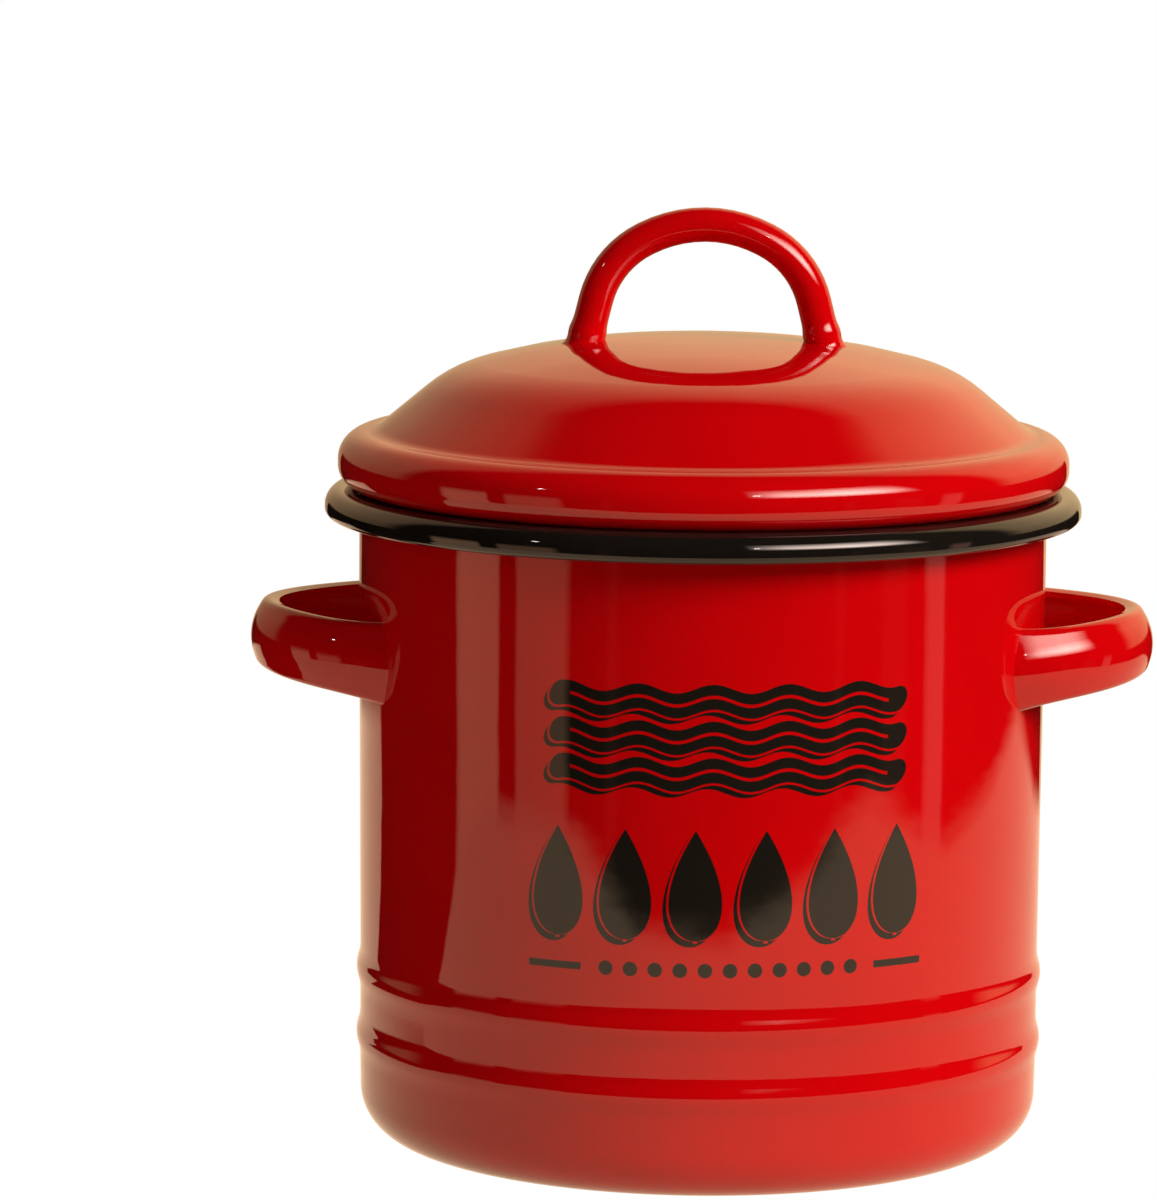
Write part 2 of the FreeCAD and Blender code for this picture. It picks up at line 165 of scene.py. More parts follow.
bpy.ops.object.select_all(action="DESELECT")
bpy.ops.mesh.primitive_plane_add(size=TABLE_SIZE, location=(0, 0, 0))
table = bpy.context.object
table.name = "studio_floor"
table_paint, tree, output = new_material("table_paint")
place = add_node(tree, "ShaderNodeTexCoord")
share, parts = bearing(tree, place.outputs["Object"])
reach = number_ramp(tree, share, [(turn_share(angle), length) for angle, length in TABLE_REACH])
away = diagonal(tree, parts.outputs["X"], parts.outputs["Y"])
edge = smooth(tree, math_node(tree, "DIVIDE", away, reach), *TABLE_EDGE)
# Painted reflection: pale wood that glows, seen only in reflections, fading out to nothing past the
# table's edge
wood_glow = add_node(tree, "ShaderNodeEmission", Color=PAINTED_WOOD_REFLECTION, Strength=1.0)
beyond = add_node(tree, "ShaderNodeBsdfTransparent")
bounce = add_node(tree, "ShaderNodeBsdfDiffuse", Color=WOOD_DIFFUSE)
white = add_node(tree, "ShaderNodeEmission", Color=WHITE, Strength=1.0)
path = add_node(tree, "ShaderNodeLightPath")
in_enamel = mixed_shader(tree, edge, wood_glow.outputs["Emission"], beyond.outputs["BSDF"])
unseen = mixed_shader(tree, path.outputs["Is Glossy Ray"], bounce.outputs["BSDF"], in_enamel)
paint = mixed_shader(tree, path.outputs["Is Camera Ray"], unseen, white.outputs["Emission"])
tree.links.new(paint, output.inputs["Surface"])
table.data.materials.append(table_paint)

# The room is white to the camera and an even grey to rough surfaces. In the enamel it is dim,
# with pale strips at the sides that end near the horizon, a wide soft window high at the front
# right, and a beige wall behind the pot, brighter towards the right.
FILL = (0.135, 0.13, 0.125, 1)
DIM = (0.010, 0.006, 0.005, 1)
PALE_STRIP = (1.45, 0.84, 0.50, 1)
MILD_STRIP = (0.95, 0.52, 0.31, 1)
ROSE_STRIP = (1.10, 0.50, 0.42, 1)
FAINT_STRIP = (0.13, 0.05, 0.035, 1)
# Each strip spans two bearings in degrees, and fades upwards by the sine of the angle of height
STRIPS = ((-89, -71, PALE_STRIP), (-64, -45, MILD_STRIP), (-31, -28, FAINT_STRIP), (45, 48, FAINT_STRIP),
          (62, 72, FAINT_STRIP), (80, 88, ROSE_STRIP))
STRIP_SOFT = 0.7
STRIP_TOP = (-0.12, 0.06)
# Share of the window's glow by bearing and by the sine of the angle of height
WINDOW_GLOW = (22.0, 17.5, 15.5, 1)
WINDOW_SPAN = ((14, 0.0), (28, 0.7), (48, 1.0), (60, 0.8), (74, 0.0))
WINDOW_RISE = ((0.26, 0.0), (0.42, 1.0), (0.54, 0.7), (0.74, 0.0))
# The wall starts at a depth behind the pot and at the horizon, straight behind the pot a little lower
WALL_RIGHT = (1.50, 1.02, 0.52, 1)
WALL_LEFT = (0.72, 0.44, 0.24, 1)
WALL_BLEND = (-0.45, 0.25)
WALL_START = (0.22, 0.42)
WALL_FOOT = (-0.02, 0.03)
STRAIGHT_BEHIND = (0.93, 0.98)
LOWER_BEHIND = 0.35
WALL_RISE = ((0.00, 0.62), (0.18, 0.78), (0.40, 1.10), (0.70, 0.85), (0.82, 0.60), (0.90, 0.0))


def mixed(tree, factor, first, second):
    """Colour between two colours or colour sockets."""
    node = add_node(tree, "ShaderNodeMix", data_type="RGBA")
    for name, value in (("Factor", factor), ("A", first), ("B", second)):
        if isinstance(value, tuple):
            node.inputs[name].default_value = value
        else:
            tree.links.new(value, node.inputs[name])
    return node.outputs["Result"]


world = bpy.data.worlds.new("room")
bpy.context.scene.world = world
world.use_nodes = True
tree = world.node_tree
tree.nodes.clear()
direction = add_node(tree, "ShaderNodeTexCoord")
share, parts = bearing(tree, direction.outputs["Generated"])
side, depth, height = parts.outputs["X"], parts.outputs["Y"], parts.outputs["Z"]
strip_stops = [(0.0, DIM)]
for first, last, tone in STRIPS:
    strip_stops += [(turn_share(first - STRIP_SOFT), DIM), (turn_share(first + STRIP_SOFT), tone),
                    (turn_share(last - STRIP_SOFT), tone), (turn_share(last + STRIP_SOFT), DIM)]
strip_stops.append((1.0, DIM))
strips = mixed(tree, smooth(tree, height, *STRIP_TOP), colour_ramp(tree, share, strip_stops), DIM)
window_across = number_ramp(tree, share, [(turn_share(angle), glow) for angle, glow in WINDOW_SPAN])
window = math_node(tree, "MULTIPLY", window_across, number_ramp(tree, height, WINDOW_RISE))
front = mixed(tree, window, strips, WINDOW_GLOW)
above_foot = math_node(tree, "MULTIPLY_ADD", smooth(tree, depth, *STRAIGHT_BEHIND), LOWER_BEHIND, height)
wall = math_node(tree, "MULTIPLY", smooth(tree, depth, *WALL_START), smooth(tree, above_foot, *WALL_FOOT))
wall = math_node(tree, "MULTIPLY", wall, number_ramp(tree, height, WALL_RISE))
wall_tone = mixed(tree, smooth(tree, side, *WALL_BLEND), WALL_LEFT, WALL_RIGHT)
path = add_node(tree, "ShaderNodeLightPath")
unseen = mixed(tree, path.outputs["Is Glossy Ray"], FILL, mixed(tree, wall, front, wall_tone))
room = add_node(tree, "ShaderNodeBackground")
tree.links.new(mixed(tree, path.outputs["Is Camera Ray"], unseen, WHITE), room.inputs["Color"])
output = add_node(tree, "ShaderNodeOutputWorld")
tree.links.new(room.outputs["Background"], output.inputs["Surface"])

# Lamps: distant light from the right for the glow of the red, which the enamel doesn't mirror, and
# two small boxes in front that leave bright specks on the bead and the rim.
LAMP_TINT = (1.0, 0.93, 0.86)
AIM_HEIGHT = 0.11
KEY_SPREAD = 28
SPOT_BEARINGS = (("right_spot", 17), ("left_spot", -53))
SPOT_SIZE = 0.05


def lamp_at(name, kind, bearing_angle, height_angle, distance, energy):
    """New lamp on the given bearing and angle above the horizon, in degrees, turned to the pot."""
    lamp = bpy.data.lights.new(name, kind)
    lamp.energy = energy
    lamp.color = LAMP_TINT
    holder = bpy.data.objects.new(name, lamp)
    bpy.context.collection.objects.link(holder)
    turn = math.radians(bearing_angle)
    rise = math.radians(height_angle)
    offset = distance * Vector((math.cos(rise) * math.sin(turn), -math.cos(rise) * math.cos(turn),
                                math.sin(rise)))
    holder.location = Vector((0, 0, AIM_HEIGHT)) + offset
    holder.rotation_mode = "QUATERNION"
    holder.rotation_quaternion = (-offset).to_track_quat("-Z", "Y")
    return holder


key_light = lamp_at("key_light", "SUN", bearing_angle=60, height_angle=30, distance=1.5, energy=2.85)
key_light.data.angle = math.radians(KEY_SPREAD)
key_light.visible_glossy = False
for name, bearing_angle in SPOT_BEARINGS:
    spot = lamp_at(name, "AREA", bearing_angle, height_angle=26, distance=1.5, energy=0.35)
    spot.data.size = SPOT_SIZE

# Pot: one drawn steel cup with a raised base panel, a round base corner and two swaged ribs,
# red glass enamel outside and white inside. Its outline is turned about the axis.
MM = 0.001
WALL_THICKNESS = 1.2
PANEL_RADIUS = 46.0
PANEL_LIFT = 0.8
PANEL_CURVE = 3.0
FOOT_INNER_RADIUS = 47.5
FOOT_OUTER_RADIUS = 61.75
BASE_CURVE = 9.0
RIB_HEIGHTS = (18.9, 31.1)
RIB_HALF = 3.1
RIB_RADIUS = 62.9
RIB_CURVE = 5.0
RIB_FOOT_RADIUS = 62.05
RIB_FOOT_CURVE = 9.0
WALL_TOP_RADIUS = 62.5
WALL_TOP_HEIGHT = 114.6
WALL_UPRIGHT_HEIGHT = 102.0
WALL_UPRIGHT_CURVE = 60.0
SPIN_STEPS = 192
ARC_STEP = 6
MERGE_DISTANCE = 0.02
SMOOTH_ANGLE = math.radians(50)


def rounded_outline(corners):
    """Points of an outline through (across, up, radius) corners in mm, each corner rounded."""
    points = []
    for i, (across, up, radius) in enumerate(corners):
        corner = Vector((across, 0, up))
        if not radius or i in (0, len(corners) - 1):
            points.append(corner)
            continue
        run_in = (Vector((corners[i - 1][0], 0, corners[i - 1][1])) - corner).normalized()
        run_out = (Vector((corners[i + 1][0], 0, corners[i + 1][1])) - corner).normalized()
        half = run_in.angle(run_out) / 2
        centre = corner + (run_in + run_out).normalized() * (radius / math.sin(half))
        start = corner + run_in * (radius / math.tan(half)) - centre
        end = corner + run_out * (radius / math.tan(half)) - centre
        turn = start.angle(end)
        count = max(4, math.ceil(math.degrees(turn) / ARC_STEP))
        for step in range(count + 1):
            part = step / count
            blend = (start * math.sin((1 - part) * turn) + end * math.sin(part * turn)) / math.sin(turn)
            points.append(centre + blend)
    return [point * MM for point in points]


def draw_outline(name, points):
    """New object whose mesh is one open line, drawn by extruding a point again and again."""
    bpy.ops.object.select_all(action="DESELECT")
    bpy.ops.mesh.primitive_plane_add(size=MM, location=(0, 0, 0))
    piece = bpy.context.object
    piece.name = name
    bpy.ops.object.mode_set(mode="EDIT")
    bpy.ops.mesh.select_all(action="SELECT")
    bpy.ops.mesh.merge(type="CENTER")
    bpy.ops.transform.translate(value=points[0])
    for before, after in zip(points, points[1:]):
        bpy.ops.mesh.extrude_vertices_move(TRANSFORM_OT_translate={"value": after - before})
    bpy.ops.object.mode_set(mode="OBJECT")
    return piece


def turn_outline(name, corners):
    """New object: the outline through the corners, spun round the pot's axis, seam and pole closed."""
    piece = draw_outline(name, rounded_outline(corners))
    bpy.ops.object.mode_set(mode="EDIT")
    bpy.ops.mesh.select_all(action="SELECT")
    bpy.ops.mesh.spin(steps=SPIN_STEPS, angle=2 * math.pi, center=(0, 0, 0), axis=(0, 0, 1))
    bpy.ops.mesh.select_all(action="SELECT")
    bpy.ops.mesh.remove_doubles(threshold=MERGE_DISTANCE * MM)
    bpy.ops.mesh.normals_make_consistent(inside=False)
    bpy.ops.object.mode_set(mode="OBJECT")
    bpy.ops.object.shade_smooth()
    return piece


def apply_modifiers(piece):
    """Applies all modifiers of a piece."""
    bpy.ops.object.select_all(action="DESELECT")
    bpy.context.view_layer.objects.active = piece
    piece.select_set(True)
    for modifier in list(piece.modifiers):
        bpy.ops.object.modifier_apply(modifier=modifier.name)


def thicken(piece, thickness, inner_slot=0):
    """Gives a turned sheet its wall, inwards from the outer face."""
    wall = piece.modifiers.new("wall", "SOLIDIFY")
    wall.thickness = thickness * MM
    wall.offset = -1.0
    wall.use_even_offset = True
    wall.material_offset = inner_slot
    wall.material_offset_rim = inner_slot
    apply_modifiers(piece)
    bpy.ops.object.shade_smooth_by_angle(angle=SMOOTH_ANGLE)


pot_corners = [(0, PANEL_LIFT, 0), (PANEL_RADIUS, PANEL_LIFT, PANEL_CURVE),
               (FOOT_INNER_RADIUS, 0, PANEL_CURVE), (FOOT_OUTER_RADIUS, 0, BASE_CURVE)]
for rib in RIB_HEIGHTS:
    pot_corners += [(RIB_FOOT_RADIUS, rib - RIB_HALF, RIB_FOOT_CURVE), (RIB_RADIUS, rib, RIB_CURVE),
                    (RIB_FOOT_RADIUS, rib + RIB_HALF, RIB_FOOT_CURVE)]
pot_corners += [(WALL_TOP_RADIUS, WALL_UPRIGHT_HEIGHT, WALL_UPRIGHT_CURVE),
                (WALL_TOP_RADIUS, WALL_TOP_HEIGHT, 0)]
pot = turn_outline("pot_wall", pot_corners)

# Fired glass enamel: long soft ripples from the pressed steel, a slow waviness, a fine orange peel,
# and glass that pools a little deeper in places. Each ripple has its scale, strength and distance.
RIPPLES = ((38.0, 0.60, 0.00012), (150.0, 0.45, 0.000040), (430.0, 0.30, 0.000006))
RIPPLE_DETAIL = 1.5
POOLING_SCALE = 55.0
POOLING_DETAIL = 4.0
ENAMEL_IOR = 1.52
ENAMEL_ROUGHNESS = 0.035
RED_DEEP = (0.64, 0.0004, 0.0020, 1)
RED_BRIGHT = (0.72, 0.0008, 0.0032, 1)
BLACK_DEEP = (0.006, 0.005, 0.004, 1)
BLACK_BRIGHT = (0.013, 0.010, 0.008, 1)
WHITE_DEEP = (0.72, 0.70, 0.64, 1)
WHITE_BRIGHT = (0.80, 0.78, 0.72, 1)


def new_group(name, sockets_in, sockets_out):
    """Empty node group with the given (name, kind) sockets, and its output node."""
    group = bpy.data.node_groups.new(name, "ShaderNodeTree")
    for socket, kind in sockets_in:
        group.interface.new_socket(socket, in_out="INPUT", socket_type=kind)
    for socket, kind in sockets_out:
        group.interface.new_socket(socket, in_out="OUTPUT", socket_type=kind)
    return group, group.nodes.new("NodeGroupOutput")


def use_group(tree, group):
    """New node that holds a group."""
    node = tree.nodes.new("ShaderNodeGroup")
    node.node_tree = group
    return node


enamel_glaze, glaze_out = new_group(
    "enamel_glaze", [], [("Pooling", "NodeSocketFloat"), ("Normal", "NodeSocketVector")])
glaze_place = add_node(enamel_glaze, "ShaderNodeTexCoord")
rippled = None
for wave_scale, strength, distance in RIPPLES:
    wave = add_node(enamel_glaze, "ShaderNodeTexNoise", Scale=wave_scale, Detail=RIPPLE_DETAIL)
    enamel_glaze.links.new(glaze_place.outputs["Object"], wave.inputs["Vector"])
    bump = add_node(enamel_glaze, "ShaderNodeBump", Strength=strength, Distance=distance)
    enamel_glaze.links.new(wave.outputs["Fac"], bump.inputs["Height"])
    if rippled:
        enamel_glaze.links.new(rippled, bump.inputs["Normal"])
    rippled = bump.outputs["Normal"]
enamel_glaze.links.new(rippled, glaze_out.inputs["Normal"])
pooling = add_node(enamel_glaze, "ShaderNodeTexNoise", Scale=POOLING_SCALE, Detail=POOLING_DETAIL)
enamel_glaze.links.new(glaze_place.outputs["Object"], pooling.inputs["Vector"])
enamel_glaze.links.new(pooling.outputs["Fac"], glaze_out.inputs["Pooling"])


def enamel(name, deep, bright):
    """Glass enamel of two near tones under a hard clear gloss, with its tree, surface and tone."""
    material, tree, output = new_material(name)
    surface = add_node(tree, "ShaderNodeBsdfPrincipled", IOR=ENAMEL_IOR, Roughness=ENAMEL_ROUGHNESS)
    glaze = use_group(tree, enamel_glaze)
    tone = mixed(tree, glaze.outputs["Pooling"], deep, bright)
    tree.links.new(tone, surface.inputs["Base Color"])
    tree.links.new(glaze.outputs["Normal"], surface.inputs["Normal"])
    tree.links.new(surface.outputs["BSDF"], output.inputs["Surface"])
    return material, tree, surface, tone


red_enamel = enamel("red_enamel", RED_DEEP, RED_BRIGHT)[0]
black_enamel = enamel("black_enamel", BLACK_DEEP, BLACK_BRIGHT)[0]
white_enamel = enamel("white_enamel", WHITE_DEEP, WHITE_BRIGHT)[0]

# The print on the pot's front, in mm along the wall and up it: three long wavy rashers over a row
# of drops, each with a thin drop shade, and a row of dots between two dashes. It is fired on in black.
INK = (0.013, 0.011, 0.008, 1)
PRINT_CENTRE = 5.6
PRINT_SOFT = 0.10
PRINT_RADIUS = 62.2
RASHER_COUNT = 3
RASHER_LOW = 73.4
RASHER_HIGH = 92.8
RASHER_HALF = 2.2
RASHER_REACH = 32.8
WAVE_HEIGHT = 0.8
WAVE_LENGTH = 13.1
FAT_HALF = 0.28
FAT_INSET = 4.0
DROP_COUNT = 6
DROP_LOW = 47.2
DROP_HIGH = 66.8
DROP_PITCH = 12.4
DROP_HALF = 4.7
DROP_FULLNESS = 2.6
SHADE_SHIFT = 1.05
SHADE_GAP = 0.38
DASH_HEIGHT = 42.0
DASH_START = 26.6
DASH_END = 36.6
DASH_HALF = 0.65
DOT_PITCH = 4.4
DOT_COUNT = 11
DOT_RADIUS = 1.3


def apart(tree, value, centre):
    """How far a number lies from another one, on either side."""
    return math_node(tree, "ABSOLUTE", math_node(tree, "SUBTRACT", value, centre))


def row_cell(tree, along, pitch, count):
    """Place within its own cell of a centred row, and how far outside the row a place lies."""
    shifted = math_node(tree, "ADD", along, pitch * count / 2)
    cell = math_node(tree, "SUBTRACT", math_node(tree, "FLOORED_MODULO", shifted, pitch), pitch / 2)
    outside = math_node(tree, "SUBTRACT", math_node(tree, "ABSOLUTE", along), pitch * count / 2)
    return cell, outside


# Distance in mm from the edge of the rashers and the drops, below zero inside them
print_figures, figures_out = new_group(
    "print_figures", [("Along", "NodeSocketFloat"), ("Up", "NodeSocketFloat")],
    [("Distance", "NodeSocketFloat")])
tree = print_figures
figures_in = tree.nodes.new("NodeGroupInput")
along = figures_in.outputs["Along"]
up = figures_in.outputs["Up"]
from_middle = math_node(tree, "ABSOLUTE", along)
sway = math_node(tree, "SINE", math_node(tree, "MULTIPLY", along, 2 * math.pi / WAVE_LENGTH))
level = math_node(tree, "SUBTRACT", up, (RASHER_LOW + RASHER_HIGH) / 2)
level = math_node(tree, "MULTIPLY_ADD", sway, WAVE_HEIGHT, level)
cell, outside = row_cell(tree, level, (RASHER_HIGH - RASHER_LOW) / RASHER_COUNT, RASHER_COUNT)
past_end = math_node(tree, "SUBTRACT", from_middle, RASHER_REACH - RASHER_HALF)
past_end = math_node(tree, "MAXIMUM", past_end, 0.0)
rashers = math_node(tree, "SUBTRACT", diagonal(tree, cell, past_end), RASHER_HALF)
rashers = math_node(tree, "MAXIMUM", rashers, outside)
fat = math_node(tree, "SUBTRACT", FAT_HALF, math_node(tree, "ABSOLUTE", cell))
fat_end = math_node(tree, "SUBTRACT", RASHER_REACH - FAT_INSET, from_middle)
rashers = math_node(tree, "MAXIMUM", rashers, math_node(tree, "MINIMUM", fat, fat_end))
cell, outside = row_cell(tree, along, DROP_PITCH, DROP_COUNT)
rise = math_node(tree, "DIVIDE", math_node(tree, "SUBTRACT", up, DROP_LOW), DROP_HIGH - DROP_LOW)
rise = math_node(tree, "MINIMUM", math_node(tree, "MAXIMUM", rise, 0.0), 1.0)
swell = math_node(tree, "MULTIPLY", math_node(tree, "SQRT", rise), math_node(tree, "SUBTRACT", 1.0, rise))
half_width = math_node(tree, "MULTIPLY", swell, DROP_FULLNESS * DROP_HALF)
beside = math_node(tree, "SUBTRACT", math_node(tree, "ABSOLUTE", cell), half_width)
over = math_node(tree, "SUBTRACT", apart(tree, up, (DROP_LOW + DROP_HIGH) / 2), (DROP_HIGH - DROP_LOW) / 2)
drops = math_node(tree, "MAXIMUM", math_node(tree, "MAXIMUM", beside, over), outside)
tree.links.new(math_node(tree, "MINIMUM", rashers, drops), figures_out.inputs["Distance"])

# Share of ink at a place of the pot's front
front_print, print_out = new_group("front_print", [], [("Ink", "NodeSocketFloat")])
tree = front_print
print_place = add_node(tree, "ShaderNodeTexCoord")
share, parts = bearing(tree, print_place.outputs["Object"])
round_wall = 2 * math.pi * PRINT_RADIUS
along = math_node(tree, "MULTIPLY_ADD", share, round_wall, -round_wall / 2 - PRINT_CENTRE)
up = math_node(tree, "MULTIPLY", parts.outputs["Z"], 1 / MM)
figures = use_group(tree, print_figures)
tree.links.new(along, figures.inputs["Along"])
tree.links.new(up, figures.inputs["Up"])
shade = use_group(tree, print_figures)
tree.links.new(math_node(tree, "ADD", along, SHADE_SHIFT), shade.inputs["Along"])
tree.links.new(math_node(tree, "ADD", up, SHADE_SHIFT), shade.inputs["Up"])
gap = math_node(tree, "SUBTRACT", SHADE_GAP, figures.outputs["Distance"])
shaded = math_node(tree, "MAXIMUM", shade.outputs["Distance"], gap)
level = apart(tree, up, DASH_HEIGHT)
dash = apart(tree, math_node(tree, "ABSOLUTE", along), (DASH_START + DASH_END) / 2)
dash = math_node(tree, "SUBTRACT", dash, (DASH_END - DASH_START) / 2)
dash = math_node(tree, "MAXIMUM", dash, math_node(tree, "SUBTRACT", level, DASH_HALF))
cell, outside = row_cell(tree, along, DOT_PITCH, DOT_COUNT)
dot = math_node(tree, "SUBTRACT", diagonal(tree, cell, level), DOT_RADIUS)
dot = math_node(tree, "MAXIMUM", dot, outside)
distance = math_node(tree, "MINIMUM", math_node(tree, "MINIMUM", figures.outputs["Distance"], shaded),
                     math_node(tree, "MINIMUM", dash, dot))
ink = math_node(tree, "SUBTRACT", 1.0, smooth(tree, distance, -PRINT_SOFT, PRINT_SOFT))
tree.links.new(ink, print_out.inputs["Ink"])

printed_enamel, tree, surface, tone = enamel("printed_enamel", RED_DEEP, RED_BRIGHT)
printing = use_group(tree, front_print)
tree.links.new(mixed(tree, printing.outputs["Ink"], tone, INK), surface.inputs["Base Color"])
pot.data.materials.append(printed_enamel)
pot.data.materials.append(white_enamel)
thicken(pot, WALL_THICKNESS, inner_slot=1)
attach(pot, "pot")
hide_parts("pot_shell")

# Rim: the top of the same sheet rolled outwards and tucked in against the wall, dipped in
# black enamel. It is the pot's bumper and the seat of the strainer and the lid.
RIM_THICKNESS = 1.2
RIM_INNER_RADIUS = 61.3
RIM_START_HEIGHT = 113.9
RIM_REACH = 68.8
RIM_TOP_HEIGHT = 119.5
RIM_INNER_CURVE = 3.2
RIM_OUTER_CURVE = 3.3
RIM_FOOT_HEIGHT = 114.2
RIM_FOOT_CURVE = 1.5
TUCK_BEND = (64.15, RIM_FOOT_HEIGHT, 1.2)
TUCK_END = (62.65, 114.7, 0)
rim = turn_outline("rolled_rim_bead", [
    (RIM_INNER_RADIUS, RIM_START_HEIGHT, 0), (RIM_INNER_RADIUS, RIM_TOP_HEIGHT, RIM_INNER_CURVE),
    (RIM_REACH, RIM_TOP_HEIGHT, RIM_OUTER_CURVE), (RIM_REACH, RIM_FOOT_HEIGHT, RIM_FOOT_CURVE),
    TUCK_BEND, TUCK_END])
rim.data.materials.append(black_enamel)
thicken(rim, RIM_THICKNESS)
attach(rim, "pot")
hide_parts("rolled_rim")

# Lid: one pressed sheet with a low crown, a sloping flank, a fat bead that covers the rim's
# inner shoulder, and a skirt turned down inside the strainer. Red outside, white inside.
LID_THICKNESS = 1.2
CROWN_TOP = 146.6
CROWN_EDGE = (25.2, CROWN_TOP, 120.0)
FLANK_BEND = (46.5, 140.73, 25.0)
VALLEY_RADIUS = 59.85
VALLEY_CURVE = 4.0
BEAD_RADIUS = 66.45
BEAD_TOP = 129.6
BEAD_FOOT = 119.3
BEAD_TOP_CURVE = 5.05
BEAD_FOOT_CURVE = 4.25
SKIRT_RADIUS = 59.7
SKIRT_CURVE = 1.4
SKIRT_END = 110.41
lid = turn_outline("lid_dome", [
    (0, CROWN_TOP, 0), CROWN_EDGE, FLANK_BEND, (VALLEY_RADIUS, BEAD_TOP, VALLEY_CURVE),
    (BEAD_RADIUS, BEAD_TOP, BEAD_TOP_CURVE), (BEAD_RADIUS, BEAD_FOOT, BEAD_FOOT_CURVE),
    (SKIRT_RADIUS, BEAD_FOOT, SKIRT_CURVE), (SKIRT_RADIUS, SKIRT_END, 0)])
lid.data.materials.append(red_enamel)
lid.data.materials.append(white_enamel)
thicken(lid, LID_THICKNESS, inner_slot=1)
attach(lid, "lid")
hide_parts("lid_shell")

# Lid handle: a round steel bar bent to an arch, its feet welded on the crown. The red enamel
# runs over the weld beads, so the bar swells a little there and flares softly into the lid.
BAR_RADIUS = 3.15
BAR_FINENESS = 12
LEG_FOOT = (22.7, 141.6)
LEG_TOP = (17.9, 161.0)
# Each leg has many close points over this share from its foot, where its thickness changes
LEG_SHARE = 0.6
LEG_STEPS = 30
SHOULDER_CURVE = 17.0
ARCH_PEAK = 170.2
PEAK_CURVE = 23.5
CROWN_AT_FOOT = 145.8
WELD_SWELL = 0.30
WELD_HEIGHT = 1.8
WELD_HALF = 1.4
FLARE_WIDTH = 1.9
FLARE_START = -2.1
FLARE_RUN = 1.0
half_arch = []
for step in range(LEG_STEPS):
    part = LEG_SHARE * step / (LEG_STEPS - 1)
    half_arch.append((LEG_FOOT[0] + part * (LEG_TOP[0] - LEG_FOOT[0]),
                      LEG_FOOT[1] + part * (LEG_TOP[1] - LEG_FOOT[1]), 0))
half_arch.append(LEG_TOP + (SHOULDER_CURVE,))
arch_corners = [(-across, up, curve) for across, up, curve in half_arch]
arch_corners += [(0, ARCH_PEAK, PEAK_CURVE)] + half_arch[::-1]
bar = draw_outline("lid_handle_bar", rounded_outline(arch_corners))
bpy.ops.object.convert(target="CURVE")
bar.data.bevel_depth = BAR_RADIUS * MM
bar.data.bevel_resolution = BAR_FINENESS
bar.data.use_fill_caps = True
for point in bar.data.splines[0].points:
    above = point.co.z / MM - CROWN_AT_FOOT
    swell = WELD_SWELL * math.exp(-((above - WELD_HEIGHT) / WELD_HALF) ** 2)
    flare = FLARE_WIDTH * min(1.0, math.exp((FLARE_START - above) / FLARE_RUN))
    point.radius = 1 + (swell + flare) / BAR_RADIUS
bpy.ops.object.convert(target="MESH")
bpy.ops.object.shade_smooth_by_angle(angle=SMOOTH_ANGLE)
bar.data.materials.append(red_enamel)
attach(bar, "lid")
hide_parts("lid_handle")

# Left side handle: a pressed steel strap bent to a loop and welded to the wall at both ends. It
# keeps its solid's shape and is dipped in the same red enamel as the pot.
left_strap = bpy.data.objects["left_side_handle"]
left_strap.data.materials.clear()
left_strap.data.materials.append(red_enamel)

# Right side handle: the same strap as the left one, mirrored, and welded on the same way in red
# enamel.
right_strap = bpy.data.objects["right_side_handle"]
right_strap.data.materials.clear()
right_strap.data.materials.append(red_enamel)

# Strainer collar: a thin band of brushed stainless steel whose lip rests on the rim's shoulder
# and whose lower end holds the cloth.
COLLAR_THICKNESS = 0.5
COLLAR_RADIUS = 60.8
COLLAR_END = 104.01
LIP_RADIUS = 61.9
LIP_HEIGHT = 118.4
LIP_CURVE = 0.6
STEEL_TONE = (0.60, 0.59, 0.57, 1)
STEEL_ROUGHNESS = (0.30, 0.42)
BRUSH_PULL = 0.5
BRUSH_SCALE = (18.0, 18.0, 1600.0)
BRUSH_DETAIL = 3.0
BRUSH_SHARE = 0.5
SMUDGE_SCALE = 60.0
SMUDGE_DETAIL = 3.0


def between(tree, factor, low, high):
    """Number between two limits, by a factor from 0 to 1."""
    node = add_node(tree, "ShaderNodeMapRange")
    tree.links.new(factor, node.inputs["Value"])
    node.inputs["To Min"].default_value = low
    node.inputs["To Max"].default_value = high
    return node.outputs["Result"]


# Satin stainless steel, brushed round the band, with faint smudges
steel, tree, output = new_material("stainless_steel")
surface = add_node(tree, "ShaderNodeBsdfPrincipled", Metallic=1.0, Anisotropic=BRUSH_PULL)
surface.inputs["Base Color"].default_value = STEEL_TONE
round_axis = add_node(tree, "ShaderNodeTangent", direction_type="RADIAL", axis="Z")
tree.links.new(round_axis.outputs["Tangent"], surface.inputs["Tangent"])
place = add_node(tree, "ShaderNodeTexCoord")
stretch = add_node(tree, "ShaderNodeMapping", Scale=BRUSH_SCALE)
tree.links.new(place.outputs["Object"], stretch.inputs["Vector"])
lines = add_node(tree, "ShaderNodeTexNoise", Scale=1.0, Detail=BRUSH_DETAIL)
tree.links.new(stretch.outputs["Vector"], lines.inputs["Vector"])
smudge = add_node(tree, "ShaderNodeTexNoise", Scale=SMUDGE_SCALE, Detail=SMUDGE_DETAIL)
tree.links.new(place.outputs["Object"], smudge.inputs["Vector"])
worn = math_node(tree, "MULTIPLY_ADD", lines.outputs["Fac"], BRUSH_SHARE, smudge.outputs["Fac"])
tree.links.new(between(tree, worn, *STEEL_ROUGHNESS), surface.inputs["Roughness"])
tree.links.new(surface.outputs["BSDF"], output.inputs["Surface"])

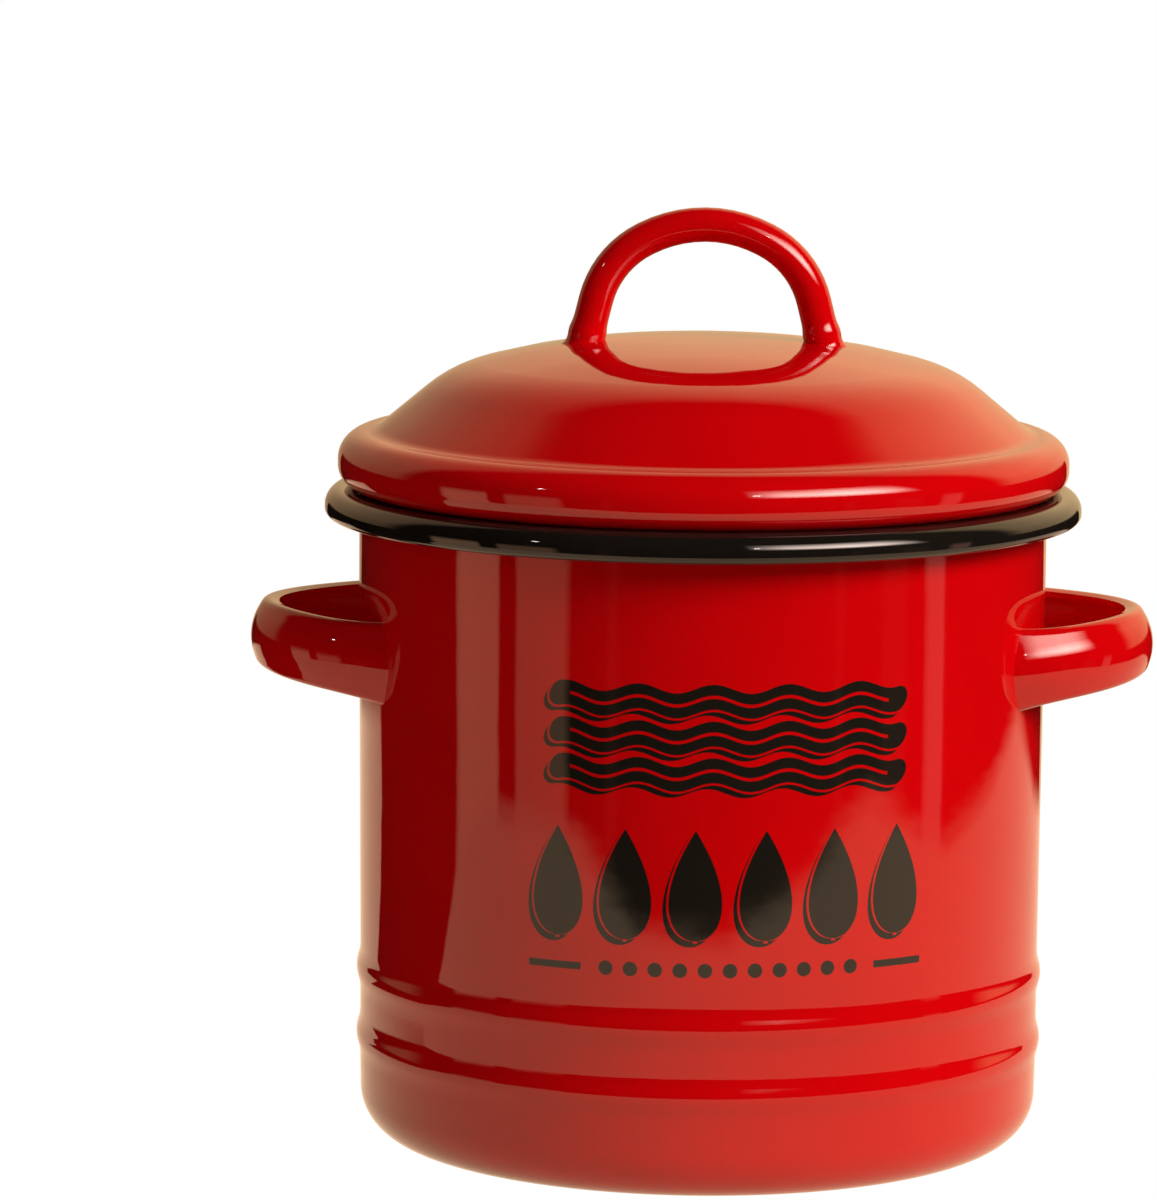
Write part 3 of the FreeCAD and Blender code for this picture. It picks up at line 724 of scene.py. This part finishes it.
collar = turn_outline("strainer_collar_band", [
    (LIP_RADIUS, LIP_HEIGHT, 0), (COLLAR_RADIUS, LIP_HEIGHT, LIP_CURVE), (COLLAR_RADIUS, COLLAR_END, 0)])
collar.data.materials.append(steel)
thicken(collar, COLLAR_THICKNESS)
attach(collar, "strainer")
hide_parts("strainer_collar")

# Strainer cloth: square woven stainless wire, pressed from a flat round blank to a bowl, its
# edge held inside the collar.
CLOTH_PITCH = 2.0
WIRE = 0.42
WEAVE_LIFT = 0.12
CLOTH_RADIUS = 60.0
CLOTH_CORNER = 22.0
CLOTH_FLOOR = 75.35
CLOTH_DISH = 2.6
CLOTH_TOP = 108.2
SLOPE_STEP = 0.1
WIRE_DULL = (0.44, 0.43, 0.41, 1)
WIRE_BRIGHT = (0.66, 0.65, 0.62, 1)
WIRE_ROUGHNESS = (0.30, 0.44)
DULLING_SCALE = 90.0
DULLING_DETAIL = 2.0
flat_radius = CLOTH_RADIUS - CLOTH_CORNER
bend_run = CLOTH_CORNER * math.pi / 2
wall_foot = CLOTH_FLOOR + CLOTH_DISH + CLOTH_CORNER
blank_radius = flat_radius + bend_run + CLOTH_TOP - wall_foot


def bowl_point(run):
    """Radius and height on the bowl, in mm, at the given run from its middle along the cloth."""
    if run <= flat_radius:
        return run, CLOTH_FLOOR + CLOTH_DISH * (run / flat_radius) ** 2
    if run <= flat_radius + bend_run:
        turn = (run - flat_radius) / CLOTH_CORNER
        return flat_radius + CLOTH_CORNER * math.sin(turn), wall_foot - CLOTH_CORNER * math.cos(turn)
    return CLOTH_RADIUS, wall_foot + run - flat_radius - bend_run


cells = 2 * math.ceil(blank_radius / CLOTH_PITCH)
bpy.ops.object.select_all(action="DESELECT")
bpy.ops.mesh.primitive_grid_add(x_subdivisions=cells, y_subdivisions=cells,
                                size=cells * CLOTH_PITCH * MM, location=(0, 0, 0))
cloth = bpy.context.object
cloth.name = "strainer_cloth"
bpy.ops.object.mode_set(mode="EDIT")
bpy.ops.mesh.select_mode(type="VERT")
bpy.ops.mesh.select_all(action="DESELECT")
bpy.ops.object.mode_set(mode="OBJECT")
for vertex in cloth.data.vertices:
    vertex.select = vertex.co.length > blank_radius * MM
bpy.ops.object.mode_set(mode="EDIT")
bpy.ops.mesh.delete(type="VERT")
bpy.ops.object.mode_set(mode="OBJECT")
for vertex in cloth.data.vertices:
    column = round(vertex.co.x / (CLOTH_PITCH * MM))
    row = round(vertex.co.y / (CLOTH_PITCH * MM))
    lift = WEAVE_LIFT if (column + row) % 2 else -WEAVE_LIFT
    run = vertex.co.length / MM
    turn = math.atan2(vertex.co.y, vertex.co.x)
    radius, height = bowl_point(run)
    next_radius, next_height = bowl_point(run + SLOPE_STEP)
    slope = math.atan2(next_height - height, next_radius - radius)
    radius -= lift * math.sin(slope)
    height += lift * math.cos(slope)
    vertex.co = Vector((radius * math.cos(turn), radius * math.sin(turn), height)) * MM
wires = cloth.modifiers.new("wires", "WIREFRAME")
wires.thickness = WIRE * MM
wires.use_even_offset = True
wires.use_replace = True
apply_modifiers(cloth)
bpy.ops.object.shade_smooth()
wire_steel, tree, output = new_material("steel_wire")
surface = add_node(tree, "ShaderNodeBsdfPrincipled", Metallic=1.0)
place = add_node(tree, "ShaderNodeTexCoord")
dulling = add_node(tree, "ShaderNodeTexNoise", Scale=DULLING_SCALE, Detail=DULLING_DETAIL)
tree.links.new(place.outputs["Object"], dulling.inputs["Vector"])
tree.links.new(mixed(tree, dulling.outputs["Fac"], WIRE_DULL, WIRE_BRIGHT), surface.inputs["Base Color"])
tree.links.new(between(tree, dulling.outputs["Fac"], *WIRE_ROUGHNESS), surface.inputs["Roughness"])
tree.links.new(surface.outputs["BSDF"], output.inputs["Surface"])
cloth.data.materials.append(wire_steel)
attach(cloth, "strainer")
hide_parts("strainer_mesh")

# Clamp ring: a plain stainless band pressed inside the cloth's edge, its lip turned in under the
# bowl's wall.
CLAMP_THICKNESS = 0.6
CLAMP_RADIUS = 59.7
CLAMP_CURVE = 1.2
CLAMP_LIP_RADIUS = 57.7
clamp = turn_outline("strainer_clamp_band", [
    (CLAMP_RADIUS, CLOTH_TOP, 0), (CLAMP_RADIUS, COLLAR_END, CLAMP_CURVE),
    (CLAMP_LIP_RADIUS, COLLAR_END, 0)])
clamp.data.materials.append(steel)
thicken(clamp, CLAMP_THICKNESS)
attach(clamp, "strainer")
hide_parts("strainer_clamp_ring")
